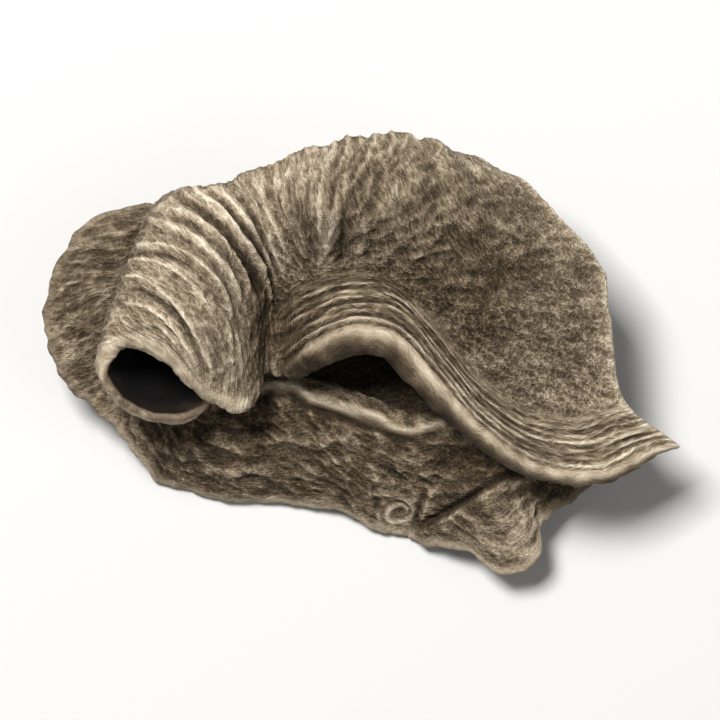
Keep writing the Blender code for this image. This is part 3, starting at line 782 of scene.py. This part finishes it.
def lower_folds(lobe):
    """The large folds, which both sides of the sheet follow."""
    height = 0.7 * strokes(lobe.surface, FLAP_RIDGES) + ledges(lobe.surface, FLAP_LEDGES)
    height += 0.2 * lobe.grain(4.2, 31) + 0.12 * lobe.grain(1.9, 33)
    on_flap = smooth(lobe.u, 6.5, 8.0) * (1 - smooth(lobe.u, 17.5, 18.5))
    height += 0.16 * on_flap * lobe.grain(1.3, 35)
    height -= 0.7 * under_lip(lobe)
    return height * smooth(lobe.v, 0.4, 1.4)


def lower_plain(lobe):
    """1 where the lower lobe is free of wrinkles: at its edge, on the plateau's rim and round the knot."""
    rim = strokes(lobe.surface, [(1.0, 0.4, PLATEAU_EDGE), (0.7, 0.3, PLATEAU_FOOT), (0.7, 0.3, CREASE_FOOT)])
    near_knot = bump(np.linalg.norm(lobe.surface[..., :2] - CURL, axis=-1), 0.8, 0.8)
    edge = smooth(-lobe.to_edge, -1.1, -0.3) * (1 - 0.4 * smooth(-lobe.u, -7.0, -5.5))
    return np.clip(np.maximum(np.maximum(edge, rim), 0.7 * near_knot), 0, 1)


def lower_relief(lobe):
    """Height of the hairy side's wrinkles in millimetres, and how far up one each point is, from 0 to 1. The
    second darkens the drawn grooves and the hollow under the fan, as painted shade.
    """
    ribs, rings = lobe.ribs(), lobe.rings()
    ear = 1 - smooth(lobe.u, 5.5, 7.0)
    flow = unit(ribs * ear[..., None] + rings * (1 - ear[..., None]) + 0.3 * ribs)
    fine = crests(combed(lobe.surface, flow, lobe.grain(0.5, 41), 0.7))
    broad = crests(combed(lobe.surface, flow, lobe.grain(1.0, 43), 1.1), 0.9)
    drawn = strokes(lobe.surface, FLAP_RIDGES) + 1.2 * knot(lobe)
    plain = lower_plain(lobe)
    strength = (1 - 0.25 * ear) * (1 - 0.85 * plain)
    height = (0.13 * fine + 0.16 * broad) * strength + 0.3 * drawn
    share = (0.42 * fine + 0.44 * broad) * (1 - 0.8 * plain) + 1.3 * drawn + (0.62 - 0.15 * ear) * plain
    # Painted shade in the hollow under the fan.
    return height, np.clip(share, 0, 1) * (1 - 0.85 * under_lip(lobe))


def lower_tone(lobe):
    """How pale each point is, from 0 for the brown hollows to 1 for the creamy edges. Part of it is painted
    light:
    shade under the fan, by the tube, behind the corner and in the grooves, and a highlight on the curled
    corner.
    """
    x, y = lobe.surface[..., 0], lobe.surface[..., 1]
    ear = 1 - smooth(lobe.u, 5.0, 7.0)
    tone = 0.14 + 0.14 * lobe.grain(4.0, 51) + 0.22 * lobe.grain(1.5, 52)
    # The ear is darker near the tube: painted shade where the tube overhangs it.
    tone += 0.13 * ear - 0.38 * ear * (1 - smooth(lobe.v, 2.0, 3.2))
    tone += 0.3 * bump(np.hypot(x - CURL[0], y - CURL[1]), 0.9, 0.5)
    tone += (0.8 - 0.65 * ear) * smooth(-lobe.to_edge, -1.5, -0.4)
    # The ovals add a painted highlight on the curled corner and painted shade under the tube's front.
    tone += spots(lobe.surface, LOWER_SPOTS_AND_PAINTED_LIGHT)
    # Paler along the plateau's edge, and painted shade in the grooves at the feet of the edge and of the
    # crease.
    edges = [(0.8, 0.22, PLATEAU_EDGE), (-0.4, 0.3, PLATEAU_FOOT), (-0.7, 0.3, CREASE_FOOT)]
    tone += strokes(lobe.surface, edges)
    # Painted shade behind the corner and in the hollow under the fan.
    shade_behind_corner = smooth(x, 13.4, 14.6) * smooth(y, -13.4, -12.0)
    return np.clip(tone, 0, 1) * (1 - under_lip(lobe)) * (1 - 0.85 * shade_behind_corner)


def lower_grain(lobe):
    """How far the finest hair lines follow the rings and the ribs, at each point of the lower lobe."""
    ribwise = 0.6 * (1 - smooth(lobe.u, 5.5, 7.5))
    ringwise = 0.4 * smooth(lobe.u, 6.0, 8.0)
    return ringwise, ribwise, lower_plain(lobe)


# Meshes

def thickness_of(lobe):
    """Thickness over a lobe: stout at the stub, even over the sheet and rounded off at its free edges."""
    reach = np.linspace(0, 1, len(lobe.along))[:, None]
    stout = np.clip(1 - reach / BASE_SHARE, 0, 1) ** 2
    thickness = SHEET + (SHEET_AT_BASE - SHEET) * stout
    inward = np.clip(1 - lobe.to_edge / ROUNDING, 0, 1)
    rounded = np.sqrt(np.clip(1 - inward**2, 0, 1))
    free = smooth(lobe.v, 0.5, 1.2)
    return SHEET_AT_MARGIN + (thickness - SHEET_AT_MARGIN) * (rounded * free + (1 - free))


def closed_sheet(lobe, relief):
    """Points and faces of the closed solid round a lobe. The underside has half the rows and columns."""
    rows, columns = lobe.surface.shape[:2]
    normal = normals_of(lobe.surface)
    half = thickness_of(lobe) / 2
    calm = smooth(lobe.to_edge, 0.0, 0.35)
    top = lobe.surface + normal * (lobe.raised + half + relief * calm)[..., None]
    vein = 0.05 * lobe.grain(1.6, 61)
    bottom = (lobe.surface + normal * (lobe.raised - half - vein * calm)[..., None])[::2, ::2]
    points = np.concatenate([top.reshape(-1, 3), bottom.reshape(-1, 3)])
    points[:, 2] = np.maximum(points[:, 2], 0)
    fine = np.arange(rows * columns).reshape(rows, columns)
    coarse = rows * columns + np.arange(bottom.shape[0] * bottom.shape[1]).reshape(bottom.shape[:2])

    def quads(grid):
        corners = [grid[:-1, :-1], grid[1:, :-1], grid[1:, 1:], grid[:-1, 1:]]
        return np.stack(corners, axis=-1).reshape(-1, 4)

    faces = quads(fine).tolist() + quads(coarse)[:, ::-1].tolist()

    def stitch(near, far, flip):
        for k in range(len(far) - 1):
            a, b, c = near[2 * k : 2 * k + 3]
            d, e = far[k : k + 2]
            for face in ([a, b, d], [b, e, d], [b, c, e]):
                faces.append(face[::-1] if flip else face)

    stitch(fine[0].tolist(), coarse[0].tolist(), False)
    stitch(fine[-1].tolist(), coarse[-1].tolist(), True)
    stitch(fine[:, 0].tolist(), coarse[:, 0].tolist(), True)
    stitch(fine[:, -1].tolist(), coarse[:, -1].tolist(), False)
    return points, faces


def spread(lobe, top, bottom):
    """A value for each point of a closed sheet, from grids for its two sides."""
    return np.concatenate([top.reshape(-1), (bottom * np.ones(lobe.u.shape))[::2, ::2].reshape(-1)])


def in_scene(name, data):
    """A new object in the scene."""
    made = bpy.data.objects.new(name, data)
    bpy.context.scene.collection.objects.link(made)
    return made


def mesh_object(name, points, faces, marks, weave):
    """An object made of these points, in millimetres, with values at each point for each mark."""
    mesh = bpy.data.meshes.new(name)
    mesh.from_pydata((points * MM).tolist(), [], faces)
    for mark, values in marks.items():
        layer = mesh.attributes.new(mark, "FLOAT", "POINT")
        layer.data.foreach_set("value", np.ascontiguousarray(values, np.float32))
    layer = mesh.attributes.new("weave", "FLOAT_VECTOR", "POINT")
    layer.data.foreach_set("vector", np.ascontiguousarray(weave, np.float32).reshape(-1))
    mesh.shade_smooth()
    mesh.update()
    return in_scene(name, mesh)


def lobe_object(name, lobe, relief, share, tone, grains, deep, place):
    """One lobe as a closed mesh. Its marks say what is hairy, raised, pale or deep, and how hairs lie. The
    raised and pale marks carry painted light as well, and the deep mark is where shade is painted inside the
    tube.
    """
    points, faces = closed_sheet(lobe, relief)
    edge = smooth(-lobe.to_edge, -0.25, 0.0)
    marks = {
        "hair": spread(lobe, np.ones(lobe.u.shape), 0.75 * edge),
        "relief": spread(lobe, share, 0.4 * edge),
        "deep": spread(lobe, np.zeros(lobe.u.shape), deep),
    }
    for mark, values in zip(("tone", "ringwise", "ribwise", "plain"), (tone, *grains)):
        marks[mark] = spread(lobe, values, values)
    ways = (lobe.crosswise, lobe.ring_place, lobe.rib_spread)
    weave = np.stack([spread(lobe, way, way) for way in ways], axis=-1)
    return mesh_object(name, points + place, faces, marks, weave)


def stub_object(place):
    """The stub: a flat cut below, tapering up into the lobes."""
    rings = np.array([[z, *centre, wide, deep] for z, centre, wide, deep in STUB_RINGS])
    levels = np.linspace(0, len(rings) - 1, STUB_STEPS * (len(rings) - 1) + 1)
    z, x, y, wide, deep = through(rings, levels).T[..., None]
    turn = 2 * math.pi * np.arange(STUB_SIDES) / STUB_SIDES
    swell = 1 + sum(share * np.cos(waves * turn + phase) for waves, share, phase in STUB_WAVES)
    outward = np.stack([np.cos(turn), np.sin(turn), np.zeros(STUB_SIDES)], axis=-1)[None]
    middle = np.stack([x, y, np.maximum(z, 0)], axis=-1)
    surface = middle + outward * swell[:, None] * np.stack([wide, deep, deep], axis=-1)
    wrinkle = grain(surface * (1.0, 1.0, 0.3), 0.9, 71) + 0.5 * grain(surface, 1.6, 72)
    rise = smooth(surface[..., 2], 0.1, 0.8)
    surface = surface + outward * (0.28 * wrinkle * rise)[..., None]
    grid = np.arange(wrinkle.size).reshape(wrinkle.shape)
    beside = np.roll(grid, -1, axis=1)
    sides = np.stack([grid[:-1], beside[:-1], beside[1:], grid[1:]], axis=-1).reshape(-1, 4)
    faces = [grid[0, ::-1].tolist(), *sides.tolist(), grid[-1].tolist()]
    share = np.clip(0.35 + 0.8 * wrinkle, 0, 1).reshape(-1)
    points = surface.reshape(-1, 3)
    plain = np.zeros(share.shape)
    marks = {mark: plain for mark in ("ringwise", "ribwise", "plain", "deep")}
    marks.update({"hair": plain + 1, "relief": share, "tone": plain + 0.25})
    return mesh_object("stub", points + place, faces, marks, points)


def grown_together(name, parts):
    """One closed mesh of the parts, which overlap where they grow from each other."""
    body = parts[0]
    for other in parts[1:]:
        union = body.modifiers.new("with " + other.name, "BOOLEAN")
        union.operation = "UNION"
        union.solver = "MANIFOLD"
        union.object = other
    graph = bpy.context.evaluated_depsgraph_get()
    mesh = bpy.data.meshes.new_from_object(body.evaluated_get(graph), depsgraph=graph)
    for part in parts:
        bpy.data.objects.remove(part)
    mesh.name = name
    mesh.shade_smooth()
    return in_scene(name, mesh)


def soften_base(body, place):
    """Draws out the creases where the lobes leave the stub into smooth hollows, as hairy as the stub."""
    mesh = body.data
    points = np.empty(3 * len(mesh.vertices))
    mesh.vertices.foreach_get("co", points)
    points = points.reshape(-1, 3)
    ends = np.empty(2 * len(mesh.edges), int)
    mesh.edges.foreach_get("vertices", ends)
    x, y, z = (points / MM - place).T
    (centre_x, centre_y), wide, deep = BASE_ELLIPSE
    away = np.hypot((x - centre_x) / wide, (y - centre_y) / deep)
    weight = (1 - smooth(away, 1.1, 1.7)) * smooth(z, 1.5, 3.5) * (1 - smooth(z, 8.0, 10.5))
    start, end = ends.reshape(-1, 2)[(weight[ends.reshape(-1, 2)] > 0).any(1)].T
    near = np.concatenate([start, end])
    far = np.concatenate([end, start])
    count = np.maximum(np.bincount(near, minlength=len(points)), 1)[:, None]
    for _ in range(BASE_PASSES):
        sums = [np.bincount(near, points[far, axis], len(points)) for axis in range(3)]
        points = points + 0.5 * weight[:, None] * (np.stack(sums, axis=1) / count - points)
    mesh.vertices.foreach_set("co", points.reshape(-1))
    marks = {mark: np.empty(len(points), np.float32) for mark in ("hair", "relief")}
    for mark, values in marks.items():
        mesh.attributes[mark].data.foreach_get("value", values)
    bare = np.minimum(2 * weight, 1) * (1 - np.minimum(marks["hair"], 1))
    marks["hair"] += bare
    marks["relief"] += bare * (BASE_RELIEF - marks["relief"])
    for mark, values in marks.items():
        mesh.attributes[mark].data.foreach_set("value", values)
    mesh.update()


def placed(*lobes):
    """The move from the guides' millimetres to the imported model's frame."""
    points = np.concatenate([lobe.surface.reshape(-1, 3) for lobe in lobes])
    middle = (points.min(axis=0) + points.max(axis=0)) / 2
    low, high = (np.array(corner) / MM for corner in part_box(NODE))
    shift = (low + high) / 2 - middle
    return np.array([shift[0], shift[1], 0])


# Material

# Sizes of the hair lines, of how they wander, of the pores and of the underside's clouds, in millimetres.
HAIR_WIDTH = 0.34
HAIR_LENGTH = 1.7
WANDER_SIZE = 2.2
PORE_SIZE = 0.13
CLOUD_SIZE = 2.4
# How much the wrinkles, the hair lines and the pores lighten the hairy side, and how dark it starts.
RELIEF_SHARE = 0.72
HAIR_SHARE = 0.42
PORE_SHARE = 0.3
DARKER_BY = 0.2
# Colours of the hairy side where it is brown and where it is creamy, from hollow to crest, the darkening
# towards the hollow being partly painted shade; of the underside; and the painted shade deep in the tube.
BROWN_STOPS = [
    (0.0, (0.013, 0.0085, 0.0045)), (0.3, (0.047, 0.032, 0.017)), (0.6, (0.135, 0.099, 0.060)),
    (1.0, (0.38, 0.31, 0.22)),
]
CREAM_STOPS = [
    (0.0, (0.070, 0.048, 0.029)), (0.3, (0.20, 0.152, 0.100)), (0.6, (0.41, 0.335, 0.240)),
    (1.0, (0.72, 0.64, 0.50)),
]
DARK_STOPS = [(0.3, (0.006, 0.0042, 0.003)), (0.55, (0.014, 0.0095, 0.0067)), (0.75, (0.034, 0.023, 0.016))]
TUBE_SHADE_COLOUR = (0.0015, 0.001, 0.0008, 1)
SKIN_BUMP = 0.1 * MM
FLOOR_COLOUR = (0.56, 0.555, 0.54, 1)
FLOOR_GRAIN = 0.6 * MM
FLOOR_BUMP = 0.02 * MM


class Look:
    """A new material, with short ways to add nodes. A node's values are numbers or other nodes' outputs."""

    def __init__(self, name):
        self.material = bpy.data.materials.new(name)
        self.material.use_nodes = True
        self.nodes = self.material.node_tree.nodes
        self.shader = self.nodes["Principled BSDF"]
        self.here = self.nodes.new("ShaderNodeTexCoord").outputs["Object"]

    def fill(self, node, values):
        """Gives a node its values, as {name or number of the input: value}."""
        for key, value in values.items():
            if isinstance(value, bpy.types.NodeSocket):
                self.material.node_tree.links.new(value, node.inputs[key])
            else:
                node.inputs[key].default_value = value
        return node.outputs[0]

    def add(self, kind, values):
        return self.fill(self.nodes.new("ShaderNode" + kind), values)

    def math(self, operation, *values, clamp=False):
        node = self.nodes.new("ShaderNodeMath")
        node.operation = operation
        node.use_clamp = clamp
        return self.fill(node, dict(enumerate(values)))

    def mark(self, name, output="Fac"):
        node = self.nodes.new("ShaderNodeAttribute")
        node.attribute_name = name
        return node.outputs[output]

    def mixed(self, factor, a, b):
        node = self.nodes.new("ShaderNodeMix")
        node.data_type = "RGBA"
        self.fill(node, {0: factor, 6: a, 7: b})
        return node.outputs[2]

    def ramp(self, factor, stops):
        node = self.nodes.new("ShaderNodeValToRGB")
        elements = node.color_ramp.elements
        while len(elements) < len(stops):
            elements.new(0.5)
        for element, (position, colour) in zip(elements, stops):
            element.position = position
            element.color = (*colour, 1)
        return self.fill(node, {0: factor})

    def noise(self, vector, size, detail=2.0, roughness=0.5):
        values = {"Vector": vector, "Scale": 1 / size, "Detail": detail, "Roughness": roughness}
        return self.add("TexNoise", values)

    def ridge(self, value, sharpness):
        """Sharp crests where a noise crosses its middle value."""
        away = self.math("ABSOLUTE", self.math("SUBTRACT", value, 0.5))
        return self.math("MULTIPLY_ADD", away, -sharpness, 1.0, clamp=True)

    def part_way(self, a, b, share):
        return self.math("MULTIPLY_ADD", self.math("SUBTRACT", b, a), share, a)

    def finish(self, colour, roughness, height, distance, strength):
        normal = self.add("Bump", {"Height": height, "Distance": distance, "Strength": strength})
        self.fill(self.shader, {"Base Color": colour, "Roughness": roughness, "Normal": normal})
        return self.material


def dried_flesh():
    """Tan hair-like wrinkles over brown on the hairy side; smooth blackish brown on the underside, with
    painted shade deep in the tube. The wrinkles darken towards their hollows, partly as painted shade.
    """
    look = Look("dried_flesh")
    math_node, mark = look.math, look.mark
    relief, tone, hair, deep = mark("relief"), mark("tone"), mark("hair"), mark("deep")
    parted = look.nodes.new("ShaderNodeSeparateXYZ")
    look.fill(parted, {0: mark("weave", "Vector")})
    crosswise, depth, spread_out = parted.outputs

    # Hair lines: crests drawn out along the rings or the ribs, or lying every way.
    wander = math_node("MULTIPLY_ADD", look.noise(look.here, WANDER_SIZE * MM), 1.6, -0.8)

    def lines(along, across, offset, along_axis):
        """Crests drawn out along one of a weave's two axes, X (0) or Y (1)."""
        along = math_node("MULTIPLY", along, 1 / HAIR_LENGTH)
        across = math_node("MULTIPLY", math_node("ADD", across, wander), 1 / HAIR_WIDTH)
        weave = look.add("CombineXYZ", {along_axis: along, 1 - along_axis: across, 2: offset})
        return look.ridge(look.noise(weave, 1.0), 9.0)

    hairs = look.ridge(look.noise(look.here, HAIR_WIDTH * 1.3 * MM), 10.0)
    hairs = look.part_way(hairs, lines(crosswise, depth, 0.0, 0), mark("ringwise"))
    hairs = look.part_way(hairs, lines(depth, spread_out, 9.0, 1), mark("ribwise"))
    hairs = math_node("MULTIPLY", hairs, math_node("MULTIPLY_ADD", mark("plain"), -0.6, 1.0))
    pores = look.noise(look.here, PORE_SIZE * MM, 2.0, 0.6)

    # The wrinkles' height picks a colour from hollow to crest: creamy hairs on the crests, and darker into
    # the hollows, which is partly painted shade.
    height = math_node("MULTIPLY", relief, RELIEF_SHARE)
    height = math_node("MULTIPLY_ADD", hairs, HAIR_SHARE, height)
    height = math_node("MULTIPLY_ADD", pores, PORE_SHARE, height)
    height = math_node("SUBTRACT", height, DARKER_BY, clamp=True)
    hairy = look.mixed(tone, look.ramp(height, BROWN_STOPS), look.ramp(height, CREAM_STOPS))
    smooth_side = look.ramp(look.noise(look.here, CLOUD_SIZE * MM, 3.0, 0.55), DARK_STOPS)
    # Painted shade deep in the tube.
    smooth_side = look.mixed(deep, smooth_side, TUBE_SHADE_COLOUR)

    roughness = math_node("MULTIPLY_ADD", deep, 0.3, 0.54)
    roughness = math_node("MULTIPLY_ADD", hair, 0.32, roughness)
    roughness = math_node("MULTIPLY_ADD", pores, 0.12, roughness)
    raised = math_node("MULTIPLY_ADD", hairs, 0.75, math_node("MULTIPLY", pores, 0.5))
    raised = math_node("MULTIPLY", raised, math_node("MULTIPLY_ADD", hair, 0.85, 0.15))
    look.fill(look.shader, {"Specular IOR Level": 0.2})
    return look.finish(look.mixed(hair, smooth_side, hairy), roughness, raised, SKIN_BUMP, 1.0)


def floor_material():
    """Pale, matt paper."""
    look = Look("studio_floor")
    paper = look.noise(look.here, FLOOR_GRAIN, 3.0)
    roughness = look.math("MULTIPLY_ADD", paper, 0.14, 0.82)
    return look.finish(FLOOR_COLOUR, roughness, paper, FLOOR_BUMP, 0.4)


# Studio

# Lights, as (name, place, size, watts), in metres.
LIGHTS = [
    ("key", (-0.16, 0.22, 0.56), 0.18, 6.6),
    ("fill", (0.38, -0.10, 0.34), 0.35, 0.5),
]
SKY_COLOUR = (1.0, 0.985, 0.96, 1)
SKY_STRENGTH = 0.16
CAMERA_HEIGHT = 0.8
VIEW_WIDTH = 1.13  # width of the picture, as a share of the part's


def studio():
    """A pale floor, soft light from above and behind, and a camera that looks straight down."""
    bpy.ops.mesh.primitive_plane_add(size=3, location=(0, 0, -0.0001))
    floor = bpy.context.object
    floor.name = "studio_floor"
    floor.data.materials.append(floor_material())
    for name, place, size, watts in LIGHTS:
        data = bpy.data.lights.new(name, "AREA")
        data.size = size
        data.energy = watts
        lamp = in_scene(name, data)
        lamp.location = place
        lamp.rotation_euler = (-Vector(place)).to_track_quat("-Z", "Y").to_euler()
    world = bpy.data.worlds.new("studio")
    world.use_nodes = True
    world.node_tree.nodes["Background"].inputs["Color"].default_value = SKY_COLOUR
    world.node_tree.nodes["Background"].inputs["Strength"].default_value = SKY_STRENGTH
    bpy.context.scene.world = world
    data = bpy.data.cameras.new("camera")
    camera = in_scene("camera", data)
    low, high = cad_box
    view_width = VIEW_WIDTH * (high.x - low.x)
    data.lens = data.sensor_width * (CAMERA_HEIGHT - high.z / 2) / view_width
    camera.location = ((low.x + high.x) / 2, (low.y + high.y) / 2, CAMERA_HEIGHT)
    bpy.context.scene.camera = camera
    bpy.context.scene.view_settings.view_transform = "Standard"


def main():
    upper = Lobe(UPPER_ROOT, UPPER_GUIDES, UPPER_ROLL, UPPER_ROWS, UPPER_ROLL_ROWS, UPPER_COLUMNS,
                 UPPER_CLOSENESS)
    lower = Lobe(LOWER_ROOT, LOWER_GUIDES, LOWER_ROLL, LOWER_ROWS, LOWER_ROLL_ROWS, LOWER_COLUMNS,
                 LOWER_CLOSENESS)
    place = placed(upper, lower)
    wave_side(upper)
    round_corner(upper)
    zones = upper_zones(upper)
    round_tube = np.clip(zones[0] + zones[1], 0, 1) * upper.facing_up
    upper.ring_place = upper.to_lip + (ring_line_place(upper) - upper.to_lip) * round_tube
    lower.ring_place = lower.to_lip
    upper.raised = upper_folds(upper)
    lower.raised = lower_folds(lower)
    ragged_edge(upper, 0.35, 1.6, 81)
    ragged_edge(lower, 0.4, 1.8, 83)
    upper_height, upper_share = upper_relief(upper, zones)
    lower_height, lower_share = lower_relief(lower)
    parts = [
        lobe_object("upper", upper, upper_height, upper_share, upper_tone(upper, zones),
                    upper_grain(upper, zones), inside_tube(upper), place),
        lobe_object("lower", lower, lower_height, lower_share, lower_tone(lower), lower_grain(lower),
                    np.zeros(lower.u.shape), place),
        stub_object(place),
    ]
    body = grown_together("wood_ear_skin", parts)
    soften_base(body, place)
    body.data.materials.clear()
    body.data.materials.append(dried_flesh())
    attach(body, "root")
    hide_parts(NODE)
    studio()


main()
